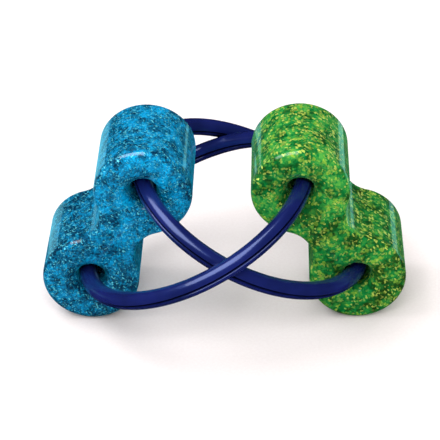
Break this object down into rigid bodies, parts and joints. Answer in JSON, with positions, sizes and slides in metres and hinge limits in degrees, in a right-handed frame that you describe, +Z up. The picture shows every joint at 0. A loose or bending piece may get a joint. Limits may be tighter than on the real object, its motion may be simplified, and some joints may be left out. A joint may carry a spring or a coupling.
{
  "type": "baby rattle",
  "caption": "Baby rattle with a blue and a green glitter block, each shaped like a figure of eight and holding loose beads, threaded on linked dark blue rings.",
  "frame": {"origin": "on the floor under the middle of the rattle, as it stands on the lower ends of its two blocks", "axes": "+Z up, +X from the blue block to the green block, -Y towards the front faces of the blocks"},
  "size_m": [0.143, 0.1108, 0.0779],
  "materials": {
    "blue_glitter": "clear gloss over blue glitter flakes",
    "green_glitter": "clear gloss over yellow-green glitter flakes",
    "ring": "gloss",
    "bead": "gloss"
  },
  "bodies": {
    "blue_block": {"blue_body": "blue_glitter", "blue_back_cover": "blue_glitter"},
    "green_block": {"green_body": "green_glitter", "green_back_cover": "green_glitter"},
    "ring_a": {"ring_a_upper_half": "ring", "ring_a_lower_half": "ring"},
    "ring_b": {"ring_b_upper_half": "ring", "ring_b_lower_half": "ring"},
    "blue_bead_1": {"blue_bead_1": "bead"},
    "blue_bead_2": {"blue_bead_2": "bead"},
    "blue_bead_3": {"blue_bead_3": "bead"},
    "blue_bead_4": {"blue_bead_4": "bead"},
    "green_bead_1": {"green_bead_1": "bead"},
    "green_bead_2": {"green_bead_2": "bead"},
    "green_bead_3": {"green_bead_3": "bead"},
    "green_bead_4": {"green_bead_4": "bead"}
  },
  "joints": [
    {"name": "ring_a_spin", "type": "hinge", "parent": "blue_block", "child": "ring_a", "pos_m": [0.0113, 0.00387, 0.03915], "axis": [0.4353, -0.0175, 0.9001], "continuous": true},
    {"name": "ring_b_spin", "type": "hinge", "parent": "blue_block", "child": "ring_b", "pos_m": [-0.0113, -0.00387, 0.03915], "axis": [-0.4353, 0.0175, 0.9001], "continuous": true},
    {"name": "green_block_slide_round", "type": "hinge", "parent": "blue_block", "child": "green_block", "pos_m": [0.006, 0, 0.039], "axis": [0, 0, 1], "range_deg": [-1.5, 2.2]},
    {"name": "blue_bead_1_roll", "type": "slide", "parent": "blue_block", "child": "blue_bead_1", "axis": [0, 1, 0], "range_m": [-0.02038, 0.0051]},
    {"name": "blue_bead_2_roll", "type": "slide", "parent": "blue_block", "child": "blue_bead_2", "axis": [0, 1, 0], "range_m": [-0.01019, 0.01529]},
    {"name": "blue_bead_3_roll", "type": "slide", "parent": "blue_block", "child": "blue_bead_3", "axis": [0, 1, 0], "range_m": [-0.01529, 0.01019]},
    {"name": "blue_bead_4_roll", "type": "slide", "parent": "blue_block", "child": "blue_bead_4", "axis": [0, 1, 0], "range_m": [-0.0051, 0.02038]},
    {"name": "green_bead_1_roll", "type": "slide", "parent": "green_block", "child": "green_bead_1", "axis": [0, 1, 0], "range_m": [-0.02038, 0.0051]},
    {"name": "green_bead_2_roll", "type": "slide", "parent": "green_block", "child": "green_bead_2", "axis": [0, 1, 0], "range_m": [-0.01019, 0.01529]},
    {"name": "green_bead_3_roll", "type": "slide", "parent": "green_block", "child": "green_bead_3", "axis": [0, 1, 0], "range_m": [-0.01529, 0.01019]},
    {"name": "green_bead_4_roll", "type": "slide", "parent": "green_block", "child": "green_bead_4", "axis": [0, 1, 0], "range_m": [-0.0051, 0.02038]}
  ]
}
